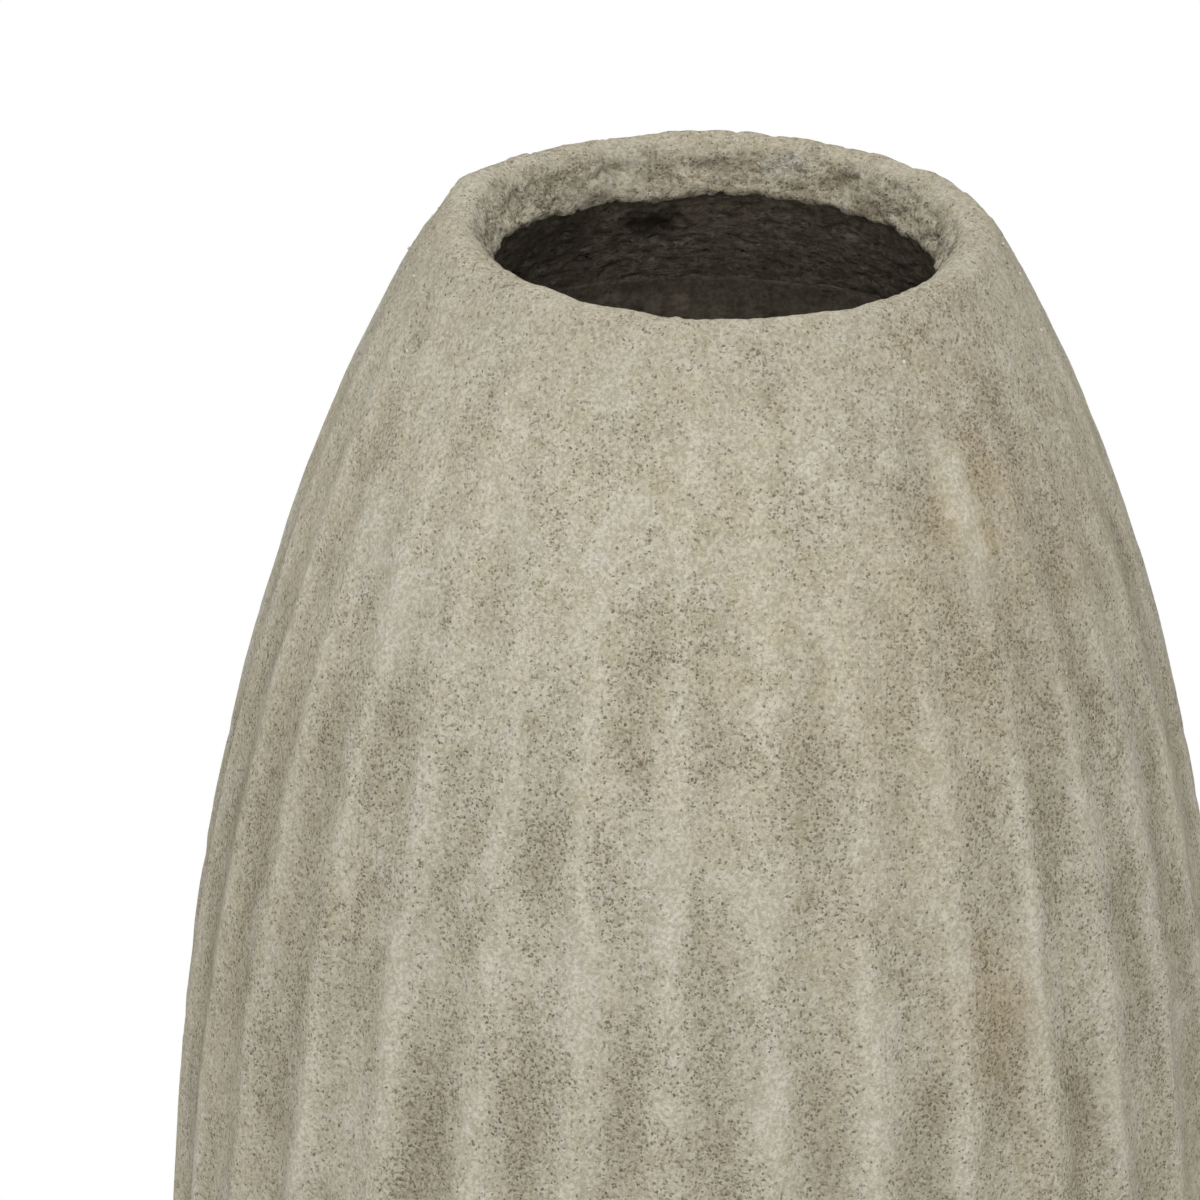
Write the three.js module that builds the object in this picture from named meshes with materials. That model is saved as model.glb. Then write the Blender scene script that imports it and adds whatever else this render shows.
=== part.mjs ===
// A tall fluted vase without handles: sections of dark clay luted together, sealed inside with a thin
// lining, and covered outside with a pale sandy skin that is drawn into flutes and rolled over the rim.
// Millimetres, +Z up. The origin is on the table, under the middle of the foot. The front is -Y.
import * as THREE from "three";

// Outside shape, measured over the crests of the flutes
const HEIGHT = 450;
const FOOT_RADIUS = 95;
const BELLY_RADIUS = 140;
const BELLY_HEIGHT = 147;
const RIM_RADIUS = 64;
// Lean of the wall from upright, in degrees: outward as it leaves the foot, inward as it meets the rim
const FOOT_LEAN = 30;
const RIM_LEAN = 36;
// Lengths of the straight pulls that shape the curve of the wall
const FOOT_PULL = 50;
const BELLY_PULL_DOWN = 78;
const BELLY_PULL_UP = 153;
const RIM_PULL = 48;

// Layers, from the outside in
const SKIN = 4;
const SLIP = 0.3;
const CLAY = 10;
const LINING = 1.2;

// Rim: the round tip of the clay ring, and the sloping face that runs from it down to the lip
const TIP_ROUND = 2.5;
const LIP_LEAN = 30;
const LIP_FACE = 8.3;
const LIP_LEDGE = 2;

// Flutes in the skin. Towards the rim they grow shallow over a long way, and end in a plain band.
const FLUTES = 32;
const FLUTE_DEPTH = 2.8;
const FLUTE_TURN = -3.7;
const FLUTE_TOP_BAND = 8;
const FLUTE_TOP_FADE = 215;
const FLUTE_TOP_BEND = 0.75;
const FLUTE_FOOT_BAND = 8;
const FLUTE_FOOT_FADE = 16;

// Floor, foot ring and the lower edge of the skin
const FLOOR = 14;
const FOOT_LAND = 18;
const FOOT_RECESS = 3;
const FOOT_EASE = 1.5;
const SKIN_EDGE = 3;

// Eased corner between the floor and the wall. A hollow of 0 is a flat slope, and 1 is a sharp corner.
const FILLET = 12;
const FILLET_HOLLOW = 0.5;

// Seams: the height of the mouth ring, the groove for the coil, and how far the lining stops below it
const MOUTH_RING = 41;
const GROOVE_DEPTH = 5;
const GROOVE_HALF = 4;
const LINING_SHY = 0.5;

// Fineness of the facets
const FLUTE_FACETS = 3;
const ROUND_FACETS = 40;
const ARC_FACETS = 4;
const RING_STEP = 40;
const RING_NEAR = 1;
const CURVE_SAMPLES = 60;

// Depths of the layers' faces under the crests of the flutes
const CLAY_OUT = SKIN + SLIP;
const CLAY_IN = CLAY_OUT + CLAY;
const GROOVE_ROOT = CLAY_IN - GROOVE_DEPTH;
const LINING_OUT = CLAY_IN + 2 * SLIP;
const LINING_IN = LINING_OUT + LINING;

// Heights of the seams and of the lining's upper edge
const BELLY_SEAM = BELLY_HEIGHT;
const MOUTH_SEAM = HEIGHT - MOUTH_RING;
const LINING_TOP = MOUTH_SEAM - GROOVE_HALF - LINING_SHY;

const radians = THREE.MathUtils.degToRad;
const point = (radius, height) => new THREE.Vector2(radius, height);
const towards = (degrees) => point(Math.cos(radians(degrees)), Math.sin(radians(degrees)));

// The rim is round about one centre, from the wall's direction on the outside to the lip's face inside
const RIM_ROUND = TIP_ROUND + SLIP + SKIN;
const RIM_CENTRE = point(RIM_RADIUS, HEIGHT - RIM_ROUND);
const OUTWARD = towards(RIM_LEAN);
const INWARD = towards(180 - LIP_LEAN);
const DOWN_THE_LIP = towards(270 - LIP_LEAN);

function fromRimCentre(direction, distance) {
  return RIM_CENTRE.clone().addScaledVector(direction, distance);
}

// The wall, as two curves that meet upright at the belly
function wallCurves() {
  const foot = point(FOOT_RADIUS, 0);
  const belly = point(BELLY_RADIUS, BELLY_HEIGHT);
  const rim = fromRimCentre(OUTWARD, RIM_ROUND);
  const lower = new THREE.CubicBezierCurve(
    foot,
    foot.clone().addScaledVector(towards(90 - FOOT_LEAN), FOOT_PULL),
    point(BELLY_RADIUS, BELLY_HEIGHT - BELLY_PULL_DOWN),
    belly,
  );
  const upper = new THREE.CubicBezierCurve(
    belly,
    point(BELLY_RADIUS, BELLY_HEIGHT + BELLY_PULL_UP),
    rim.clone().addScaledVector(towards(RIM_LEAN - 90), RIM_PULL),
    rim,
  );
  return [lower, upper];
}

// Places along the wall with the direction that faces out of it
const WALL = wallCurves().flatMap((curve) => {
  const shares = Array.from({ length: CURVE_SAMPLES + 1 }, (_, i) => i / CURVE_SAMPLES);
  return shares.map((share) => {
    const along = curve.getTangent(share);
    return { place: curve.getPoint(share), out: point(along.y, -along.x) };
  });
});

// Radius, at a height, of the surface that lies a given depth under the outside of the wall
function wallRadius(height, depth) {
  const line = WALL.map(({ place, out }) => place.clone().addScaledVector(out, -depth));
  const next = line.findIndex((spot) => spot.y > height);
  const upper = next < 0 ? line.length - 1 : Math.max(next, 1);
  const a = line[upper - 1];
  const b = line[upper];
  return THREE.MathUtils.mapLinear(height, a.y, b.y, a.x, b.x);
}

const wallPoint = (height, depth) => point(wallRadius(height, depth), height);

// Heights of the rings of facets. Every layer uses the same ones, so the layers lie parallel.
function between(low, high) {
  const count = Math.ceil((high - low) / RING_STEP);
  return Array.from({ length: count - 1 }, (_, i) => low + ((high - low) * (i + 1)) / count);
}

const RINGS = [
  SKIN_EDGE,
  FLOOR,
  FLOOR + FILLET,
  ...between(FLOOR + FILLET, BELLY_SEAM),
  BELLY_SEAM,
  ...between(BELLY_SEAM, MOUTH_SEAM),
  MOUTH_SEAM,
];

function wallLine(low, high, depth) {
  const inside = RINGS.filter((ring) => ring > low + RING_NEAR && ring < high - RING_NEAR);
  return [low, ...inside, high].map((height) => wallPoint(height, depth));
}

function arc(centre, radius, from, to) {
  const curve = new THREE.EllipseCurve(
    centre.x, centre.y, radius, radius, radians(from), radians(to), from > to,
  );
  return curve.getPoints(ARC_FACETS);
}

// An outline turned about the upright axis, starting from the front. One that leaves the axis comes
// back to it, and any other is closed on itself.
function turned(outline, facets, turn = 0) {
  const onAxis = outline[0].x === 0;
  const profile = onAxis ? outline : [...outline, outline[0]];
  const geometry = new THREE.LatheGeometry(profile, facets, radians(turn));
  geometry.rotateX(Math.PI / 2);
  return geometry;
}

// The slab that closes the vessel. Its underside is hollowed, so that it stands on a ring.
function floorDisc() {
  const landOut = wallRadius(0, CLAY_OUT) - FOOT_EASE;
  const landIn = landOut - FOOT_LAND;
  return turned([
    point(0, FOOT_RECESS),
    point(landIn - FOOT_RECESS, FOOT_RECESS),
    point(landIn, 0),
    point(landOut, 0),
    wallPoint(FOOT_EASE, CLAY_OUT),
    wallPoint(FLOOR, CLAY_OUT),
    point(0, FLOOR),
  ], ROUND_FACETS);
}

// The inside corner between the floor and the wall, eased by a shallow hollow, as a surface that
// lies a given distance clear of the clay. It runs from the floor to the wall.
function corner(clear) {
  const low = FLOOR + clear;
  const root = wallPoint(low, CLAY_IN + clear);
  const onFloor = point(root.x - FILLET, low);
  const onWall = wallPoint(low + FILLET, CLAY_IN + clear);
  const pull = onFloor.clone().lerp(onWall, 0.5).lerp(root, FILLET_HOLLOW);
  const curve = new THREE.QuadraticBezierCurve(onFloor, pull, onWall);
  return { root, face: curve.getPoints(ARC_FACETS) };
}

function floorSeamCoil() {
  const { root, face } = corner(SLIP);
  return turned([root, ...face.toReversed()], ROUND_FACETS);
}

// The bowl-shaped lower section. It stands on the floor slab, and its upper edge is cut back inside
// for the coil of the belly seam.
function lowerWall() {
  const low = FLOOR + SLIP;
  return turned([
    ...wallLine(low, BELLY_SEAM, CLAY_OUT),
    wallPoint(BELLY_SEAM, GROOVE_ROOT),
    ...wallLine(low, BELLY_SEAM - GROOVE_HALF, CLAY_IN).toReversed(),
  ], ROUND_FACETS);
}

// The long shoulder section, with both edges cut back inside
function upperWall() {
  const low = BELLY_SEAM + SLIP;
  return turned([
    ...wallLine(low, MOUTH_SEAM, CLAY_OUT),
    wallPoint(MOUTH_SEAM, GROOVE_ROOT),
    ...wallLine(low + GROOVE_HALF, MOUTH_SEAM - GROOVE_HALF, CLAY_IN).toReversed(),
    wallPoint(low, GROOVE_ROOT),
  ], ROUND_FACETS);
}

// A coil of clay that fills the groove of a seam, level with the wall's inner face
function seamCoil(seam) {
  const middle = seam + SLIP / 2;
  const slope = Math.hypot(GROOVE_DEPTH, GROOVE_HALF) / GROOVE_HALF;
  const rootGap = SLIP * slope;
  const half = (GROOVE_HALF * (GROOVE_DEPTH - rootGap)) / GROOVE_DEPTH;
  return turned([
    wallPoint(middle, GROOVE_ROOT + rootGap),
    wallPoint(middle + half, CLAY_IN),
    wallPoint(middle - half, CLAY_IN),
  ], ROUND_FACETS);
}

// The thick ring under the rim: it follows the wall outside, is round at the tip, and slopes back
// inside from a narrow ledge under the lip to the seam
function mouthRing() {
  const low = MOUTH_SEAM + SLIP;
  const tip = arc(RIM_CENTRE, TIP_ROUND, RIM_LEAN, 180 - LIP_LEAN);
  const behindLip = fromRimCentre(INWARD, TIP_ROUND).addScaledVector(DOWN_THE_LIP, LIP_FACE);
  return turned([
    wallPoint(low, CLAY_OUT),
    ...tip,
    behindLip,
    point(behindLip.x + LIP_LEDGE, behindLip.y),
    wallPoint(low + GROOVE_HALF, CLAY_IN),
    wallPoint(low, GROOVE_ROOT),
  ], ROUND_FACETS);
}

// A thin coat over the floor and the walls, up to just below the seam of the mouth ring
function innerLining() {
  const outer = corner(LINING_OUT - CLAY_IN).face;
  const inner = corner(LINING_IN - CLAY_IN).face;
  const outerWall = wallLine(outer.at(-1).y, LINING_TOP, LINING_OUT).slice(1);
  const innerWall = wallLine(inner.at(-1).y, LINING_TOP, LINING_IN).slice(1);
  return turned([
    point(0, outer[0].y),
    ...outer,
    ...outerWall,
    ...innerWall.toReversed(),
    ...inner.toReversed(),
    point(0, inner[0].y),
  ], ROUND_FACETS);
}

// Depth of the flutes at a height: none at the rim and at the foot, full at the belly
function fluteDepth(height) {
  const belowTop = HEIGHT - FLUTE_TOP_BAND - height;
  const fromTop = THREE.MathUtils.clamp(belowTop / FLUTE_TOP_FADE, 0, 1) ** FLUTE_TOP_BEND;
  const fromFoot = THREE.MathUtils.smoothstep(
    height, FLUTE_FOOT_BAND, FLUTE_FOOT_BAND + FLUTE_FOOT_FADE,
  );
  return FLUTE_DEPTH * fromTop * fromFoot;
}

// The sandy skin: up the outside, over the rim, and down to a round edge at the lip. Each flute is a
// shallow hollow between two crests.
function flutedSkin() {
  const rimStart = fromRimCentre(OUTWARD, RIM_ROUND);
  const outside = wallLine(SKIN_EDGE, rimStart.y, 0);
  const crest = arc(RIM_CENTRE, RIM_ROUND, RIM_LEAN, 180 - LIP_LEAN).slice(1);
  const lipCentre = fromRimCentre(INWARD, RIM_ROUND - SKIN / 2);
  lipCentre.addScaledVector(DOWN_THE_LIP, LIP_FACE);
  const lip = arc(lipCentre, SKIN / 2, 180 - LIP_LEAN, 360 - LIP_LEAN);
  const overTip = arc(RIM_CENTRE, RIM_ROUND - SKIN, 180 - LIP_LEAN, RIM_LEAN);
  const inside = wallLine(SKIN_EDGE, overTip.at(-1).y, SKIN).slice(0, -1).toReversed();
  const outline = [...outside, ...crest, ...lip, ...overTip, ...inside];
  const geometry = turned(outline, FLUTES * FLUTE_FACETS, FLUTE_TURN);

  const spots = geometry.attributes.position;
  const spotsPerFacet = outline.length + 1;
  for (let i = 0; i < spots.count; i += 1) {
    const ring = (i % spotsPerFacet) % outline.length;
    if (ring < outside.length) {
      const across = (Math.floor(i / spotsPerFacet) % FLUTE_FACETS) / FLUTE_FACETS;
      const hollow = fluteDepth(outside[ring].y) * Math.sin(Math.PI * across);
      const shrink = 1 - hollow / outside[ring].x;
      spots.setXY(i, spots.getX(i) * shrink, spots.getY(i) * shrink);
    }
  }
  return geometry;
}

const darkClay = { color: 0x70685a, roughness: 0.92, metalness: 0 };
const softSlip = { color: 0x766e60, roughness: 0.9, metalness: 0 };
const sealedCoat = { color: 0x807868, roughness: 0.8, metalness: 0 };
const paleSand = { color: 0xb1ab98, roughness: 0.97, metalness: 0 };

const PIECES = [
  ["floor_disc", floorDisc(), darkClay],
  ["lower_wall", lowerWall(), darkClay],
  ["floor_seam_coil", floorSeamCoil(), softSlip],
  ["upper_wall", upperWall(), darkClay],
  ["belly_seam_coil", seamCoil(BELLY_SEAM), softSlip],
  ["mouth_ring", mouthRing(), darkClay],
  ["mouth_seam_coil", seamCoil(MOUTH_SEAM), softSlip],
  ["inner_lining", innerLining(), sealedCoat],
  ["fluted_skin", flutedSkin(), paleSand],
];

const vase = new THREE.Group();
for (const [name, geometry, finish] of PIECES) {
  const mesh = new THREE.Mesh(geometry, new THREE.MeshStandardMaterial(finish));
  mesh.name = name;
  vase.add(mesh);
}

export default vase;
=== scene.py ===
import math

import bpy
import numpy as np
from mathutils import Matrix, Vector


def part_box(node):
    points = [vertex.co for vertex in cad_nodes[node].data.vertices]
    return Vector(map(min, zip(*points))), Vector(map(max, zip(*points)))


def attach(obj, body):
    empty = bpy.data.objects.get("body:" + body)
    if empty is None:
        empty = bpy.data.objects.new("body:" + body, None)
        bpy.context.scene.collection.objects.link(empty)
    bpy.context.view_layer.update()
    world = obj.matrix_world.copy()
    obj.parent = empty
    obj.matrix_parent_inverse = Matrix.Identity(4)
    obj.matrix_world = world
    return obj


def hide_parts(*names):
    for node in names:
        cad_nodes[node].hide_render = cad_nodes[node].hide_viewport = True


# A tall fluted vase without handles. Metres, +Z up, the front is -Y. Angles are written in degrees, and
# an angle round the vase is counted from the front towards +X.
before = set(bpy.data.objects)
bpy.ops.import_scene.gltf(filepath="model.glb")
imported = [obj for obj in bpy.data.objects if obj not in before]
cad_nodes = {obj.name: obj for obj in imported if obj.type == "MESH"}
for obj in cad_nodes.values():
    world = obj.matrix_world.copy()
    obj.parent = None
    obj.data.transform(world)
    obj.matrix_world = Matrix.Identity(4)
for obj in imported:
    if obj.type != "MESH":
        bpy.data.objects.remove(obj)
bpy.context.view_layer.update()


# Floor disc: the slab of coarse dark clay that closes the vessel below. It is rolled out, cut round
# and hollowed underneath, so that the vase stands on a ring; the lower wall is luted onto it.
vase_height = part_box("fluted_skin")[1].z
foot_radius = 0.095
belly_radius = 0.140
belly_height = 0.147
rim_radius = 0.064
foot_lean = 30
rim_lean = 36
foot_pull = 0.050
belly_pull_down = 0.078
belly_pull_up = 0.153
rim_pull = 0.048
below_foot = 0.010

skin_thickness = 0.004
slip = 0.0003
clay_thickness = 0.010
clay_out = skin_thickness + slip
clay_in = clay_out + clay_thickness

ring_tip = 0.0025
rim_round = ring_tip + slip + skin_thickness
rim_centre = np.array([rim_radius, vase_height - rim_round])

floor_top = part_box("floor_disc")[1].z
foot_land = 0.018
foot_recess = 0.003
foot_ease = 0.0015
floor_step = 0.004
floor_segments = 160


def towards(degrees):
    """A step of one in the plane of an outline, at an angle from straight outwards."""
    return np.array([math.cos(math.radians(degrees)), math.sin(math.radians(degrees))])


def pulled_curve(start, first_pull, second_pull, end, count=150):
    """A smooth curve between two points, drawn by two pulls."""
    share = np.linspace(0, 1, count)[:, None]
    rest = 1 - share
    return (rest ** 3 * start + 3 * rest ** 2 * share * first_pull
            + 3 * rest * share ** 2 * second_pull + share ** 3 * end)


foot = np.array([foot_radius, 0.0])
belly = np.array([belly_radius, belly_height])
rim_start = rim_centre + rim_round * towards(rim_lean)
up_from_foot = towards(90 - foot_lean)
lower_curve = pulled_curve(foot, foot + foot_pull * up_from_foot, belly - [0, belly_pull_down], belly)
upper_curve = pulled_curve(
    belly, belly + [0, belly_pull_up], rim_start + rim_pull * towards(rim_lean - 90), rim_start)
wall = np.vstack([foot - below_foot * up_from_foot, lower_curve, upper_curve[1:]])
wall_way = np.gradient(wall, axis=0)
wall_out = np.column_stack([wall_way[:, 1], -wall_way[:, 0]])
wall_out /= np.linalg.norm(wall_out, axis=1)[:, None]


def spaced(line, step):
    """The same line with its points an even step apart."""
    line = np.asarray(line)
    along = np.concatenate([[0], np.cumsum(np.linalg.norm(np.diff(line, axis=0), axis=1))])
    places = np.linspace(0, along[-1], max(2, round(along[-1] / step) + 1))
    return np.column_stack([np.interp(places, along, line[:, i]) for i in (0, 1)])


def wall_radius(height, depth):
    """Radius, at a height, of the surface that lies a depth under the outside of the wall."""
    line = wall - depth * wall_out
    return np.interp(height, line[:, 1], line[:, 0])


def wall_line(low, high, depth, step):
    """The surface at a depth under the outside of the wall, from one height up to another."""
    line = wall - depth * wall_out
    inside = line[(line[:, 1] > low) & (line[:, 1] < high)]
    ends = [[wall_radius(height, depth), height] for height in (low, high)]
    return spaced(np.vstack([ends[:1], inside, ends[1:]]), step)


def eased(corners, ease, count=5):
    """A line through corners, with each corner between the ends rounded off."""
    corners = [np.asarray(corner, float) for corner in corners]
    line = [corners[0]]
    for before, corner, after in zip(corners, corners[1:], corners[2:]):
        back, ahead = before - corner, after - corner
        start = corner + back * min(0.45, ease / np.linalg.norm(back))
        end = corner + ahead * min(0.45, ease / np.linalg.norm(ahead))
        for share in np.linspace(0, 1, count):
            line.append((1 - share) ** 2 * start + 2 * share * (1 - share) * corner + share ** 2 * end)
    return np.array([*line, corners[-1]])


def evenly(segments):
    """Angles that share a full turn evenly."""
    return np.linspace(0, 2 * math.pi, segments, endpoint=False)


def placed(name, data):
    """A new object in the scene."""
    made = bpy.data.objects.new(name, data)
    bpy.context.scene.collection.objects.link(made)
    return made


def turned(name, outline, around, **marks):
    """A piece whose outline is turned about the upright axis, through the angles around. The outline
    runs up the outside and down the inside. It closes on itself, unless it starts and ends on the axis.
    Marks are values for each point of the outline, which the finished vertices carry as attributes."""
    outline = np.asarray(outline)
    segments = len(around)
    on_axis = outline[0, 0] == 0
    rings = outline[1:-1] if on_axis else outline
    spots = np.stack([
        np.outer(rings[:, 0], np.cos(around)),
        np.outer(rings[:, 0], np.sin(around)),
        np.repeat(rings[:, 1:], segments, axis=1),
    ], axis=-1).reshape(-1, 3)
    index = np.arange(len(spots)).reshape(len(rings), segments)
    lower = index[:-1] if on_axis else index
    upper = index[1:] if on_axis else np.roll(index, -1, axis=0)
    sides = [lower, np.roll(lower, -1, axis=1), np.roll(upper, -1, axis=1), upper]
    faces = np.stack(sides, axis=-1).reshape(-1, 4).tolist()
    if on_axis:
        spots = np.vstack([spots, [[0, 0, outline[0, 1]], [0, 0, outline[-1, 1]]]])
        low_pole, high_pole = len(spots) - 2, len(spots) - 1
        first, last = index[0], index[-1]
        faces += [[low_pole, b, a] for a, b in zip(first.tolist(), np.roll(first, -1).tolist())]
        faces += [[high_pole, a, b] for a, b in zip(last.tolist(), np.roll(last, -1).tolist())]
    mesh = bpy.data.meshes.new(name)
    mesh.from_pydata(spots.tolist(), [], faces)
    for mark, values in marks.items():
        values = np.asarray(values, np.float32)
        spread = np.repeat(values[1:-1] if on_axis else values, segments)
        if on_axis:
            spread = np.append(spread, [values[0], values[-1]])
        mesh.attributes.new(mark, "FLOAT", "POINT").data.foreach_set("value", spread)
    return placed(name, mesh)


def node(tree, kind, inputs=(), **settings):
    """A new node. Its inputs are numbers, colours or the sockets that feed them."""
    made = tree.nodes.new(kind)
    for name, value in settings.items():
        setattr(made, name, value)
    for key, value in dict(inputs).items():
        if isinstance(value, bpy.types.NodeSocket):
            tree.links.new(value, made.inputs[key])
        else:
            made.inputs[key].default_value = value
    return made


def calc(tree, operation, *values):
    return node(tree, "ShaderNodeMath", enumerate(values), operation=operation).outputs[0]


def vector(tree, operation, *values):
    return node(tree, "ShaderNodeVectorMath", enumerate(values), operation=operation).outputs[0]


def scaled(tree, value, scale):
    return node(tree, "ShaderNodeVectorMath", {0: value, "Scale": scale}, operation="SCALE").outputs[0]


def ramped(tree, value, low, high, start=0.0, end=1.0):
    """A smooth change from start to end while the value goes from low to high."""
    inputs = enumerate((value, low, high, start, end))
    return node(tree, "ShaderNodeMapRange", inputs, interpolation_type="SMOOTHSTEP").outputs[0]


def noise(tree, place, size, detail=2.0, roughness=0.5):
    """Cloudy noise from 0 to 1, with features about as large as size."""
    inputs = {"Vector": place, "Detail": detail, "Roughness": roughness}
    inputs["Scale"] = calc(tree, "DIVIDE", 1.0, size)
    return node(tree, "ShaderNodeTexNoise", inputs).outputs[0]


def upright_stretch(tree, place, stretch):
    """Places squeezed upright, so that what is drawn on them comes out stretched upright."""
    squeeze = calc(tree, "DIVIDE", 1.0, stretch)
    scale = node(tree, "ShaderNodeCombineXYZ", {0: 1.0, 1: 1.0, 2: squeeze}).outputs[0]
    return vector(tree, "MULTIPLY", place, scale)


def blended(tree, share, first, second, way="MIX"):
    inputs = {0: share, 6: first, 7: second}
    return node(tree, "ShaderNodeMix", inputs, data_type="RGBA", blend_type=way).outputs[2]


def times(tree, colour, factor):
    """A colour made darker or paler by a factor."""
    return blended(tree, 1.0, colour, factor, "MULTIPLY")


def node_group(kind, name, takes, gives):
    """An empty node group with named sockets, and the sockets on its inside."""
    tree = bpy.data.node_groups.new(name, kind)
    for in_out, sockets in (("INPUT", takes), ("OUTPUT", gives)):
        for label, socket in sockets.items():
            tree.interface.new_socket(label, in_out=in_out, socket_type="NodeSocket" + socket)
    return tree, tree.nodes.new("NodeGroupInput").outputs, tree.nodes.new("NodeGroupOutput").inputs


def tint(red, green, blue):
    """A colour as it looks on a screen, from 0 to 255, as a shader takes it."""
    colour = []
    for part in (red / 255, green / 255, blue / 255):
        colour.append(part / 12.92 if part <= 0.04045 else ((part + 0.055) / 1.055) ** 2.4)
    return colour + [1.0]


# Grain of sand in clay or render: a rough height, a speckle of paler and darker grains, and pores that
# are as many as asked, each of its own size and darkness. The sizes in it are counted in grains.
grain_group, given, made = node_group(
    "ShaderNodeTree", "Sand grain",
    {"Place": "Vector", "Grain": "Float", "Pore share": "Float"},
    {"Height": "Float", "Speckle": "Float", "Pores": "Float"})
tree = grain_group
lump_size = calc(tree, "MULTIPLY", given["Grain"], 1.3)
coarse = noise(tree, given["Place"], lump_size, detail=3.0, roughness=0.8)
per_metre = calc(tree, "DIVIDE", 1.0, given["Grain"])
stir = node(tree, "ShaderNodeTexNoise", {
    "Vector": given["Place"], "Scale": calc(tree, "MULTIPLY", per_metre, 1.2), "Detail": 1.0})
stir = vector(tree, "SUBTRACT", stir.outputs["Color"], (0.5, 0.5, 0.5))
stir = scaled(tree, stir, calc(tree, "MULTIPLY", given["Grain"], 1.4))
stirred = vector(tree, "ADD", given["Place"], stir)
cells = node(tree, "ShaderNodeTexVoronoi", {"Vector": stirred, "Scale": per_metre}).outputs
chance = node(tree, "ShaderNodeSeparateColor", {0: cells["Color"]}).outputs
speckle = calc(tree, "MULTIPLY_ADD", calc(tree, "SUBTRACT", chance[2], 0.5), 0.22, coarse)
open_pore = calc(tree, "SUBTRACT", given["Pore share"], chance[0])
open_pore = ramped(tree, open_pore, 0.0, 0.30)
pore_edge = calc(tree, "MULTIPLY_ADD", chance[1], 0.50, 0.25)
pore_core = calc(tree, "MULTIPLY", pore_edge, 0.45)
pores = ramped(tree, cells["Distance"], pore_core, pore_edge, 1.0, 0.0)
pores = calc(tree, "MULTIPLY", pores, open_pore)
pores = calc(tree, "MULTIPLY", pores, calc(tree, "MULTIPLY_ADD", chance[2], 0.6, 0.4))
tree.links.new(calc(tree, "MULTIPLY_ADD", pores, -0.6, speckle), made["Height"])
tree.links.new(speckle, made["Speckle"])
tree.links.new(pores, made["Pores"])

# Clouds: soft patches, stretched upright or around, that cover more or less of the surface
cloud_group, given, made = node_group(
    "ShaderNodeTree", "Clouds",
    {"Place": "Vector", "Size": "Float", "Upright": "Float", "Low": "Float", "High": "Float"},
    {"Mask": "Float"})
tree = cloud_group
drawn_out = upright_stretch(tree, given["Place"], given["Upright"])
cloud = noise(tree, drawn_out, given["Size"], detail=5.0, roughness=0.68)
tree.links.new(ramped(tree, cloud, given["Low"], given["High"]), made["Mask"])


def new_material(name):
    """A new material, with its node tree and the places on the piece."""
    material = bpy.data.materials.new(name)
    material.use_nodes = True
    tree = material.node_tree
    tree.nodes.clear()
    return material, tree, node(tree, "ShaderNodeTexCoord").outputs["Object"]


def new_finish(name):
    """A new material of a piece, which has a matt surface shader as well."""
    material, tree, place = new_material(name)
    surface = node(tree, "ShaderNodeBsdfPrincipled", {
        "Specular IOR Level": 0.25, "Diffuse Roughness": 0.3})
    tree.links.new(surface.outputs[0], node(tree, "ShaderNodeOutputMaterial").inputs["Surface"])
    return material, tree, place, surface.inputs


def grain_of(tree, place, grain, pore_share):
    inputs = {"Place": place, "Grain": grain, "Pore share": pore_share}
    return node(tree, "ShaderNodeGroup", inputs, node_tree=grain_group).outputs


def clouds(tree, place, size, upright=1.0, low=0.4, high=0.65):
    inputs = {"Place": place, "Size": size, "Upright": upright, "Low": low, "High": high}
    return node(tree, "ShaderNodeGroup", inputs, node_tree=cloud_group).outputs["Mask"]


def speckled(tree, colour, sand, contrast):
    """A colour made darker and paler from grain to grain."""
    return times(tree, colour, ramped(tree, sand["Speckle"], 0.3, 0.7, 1.0 - contrast, 1.0 + contrast))


def end_finish(tree, surface, colour, roughness, height, relief):
    """Gives the surface shader its colour, its roughness and the grain that is raised on it."""
    bump = node(tree, "ShaderNodeBump", {"Height": height, "Distance": relief})
    tree.links.new(colour, surface["Base Color"])
    tree.links.new(roughness, surface["Roughness"])
    tree.links.new(bump.outputs[0], surface["Normal"])


def clay_finish(name, body, dry, pit, grain, upright, relief):
    """Unglazed clay: a body colour with drier clouds, speckled, with open pits."""
    material, tree, place, surface = new_finish(name)
    dry_clouds = clouds(tree, place, size=0.025, upright=upright)
    sand = grain_of(tree, place, grain, calc(tree, "MULTIPLY_ADD", dry_clouds, 0.3, 0.3))
    colour = blended(tree, dry_clouds, tint(*body), tint(*dry))
    colour = speckled(tree, colour, sand, 0.25)
    colour = blended(tree, sand["Pores"], colour, tint(*pit))
    roughness = ramped(tree, sand["Speckle"], 0.2, 0.8, 0.98, 0.82)
    end_finish(tree, surface, colour, roughness, sand["Height"], relief)
    return material


dark_clay = clay_finish(
    "dark_clay", body=(104, 96, 82), dry=(124, 115, 99), pit=(62, 56, 47),
    grain=0.0014, upright=0.6, relief=0.0004)


def carried(tree, mark):
    """A value that the vertices of a blank carry, for a Geometry Nodes tree."""
    return node(tree, "GeometryNodeInputNamedAttribute", {"Name": mark}, data_type="FLOAT").outputs[0]


def end_tree(tree, geometry, given, made):
    """The end of a Geometry Nodes tree: plain geometry, with its material."""
    plain = node(tree, "GeometryNodeRealizeInstances", {"Geometry": geometry}).outputs[0]
    coated = node(tree, "GeometryNodeSetMaterial", {"Geometry": plain, "Material": given["Material"]})
    tree.links.new(coated.outputs[0], made["Geometry"])


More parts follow.
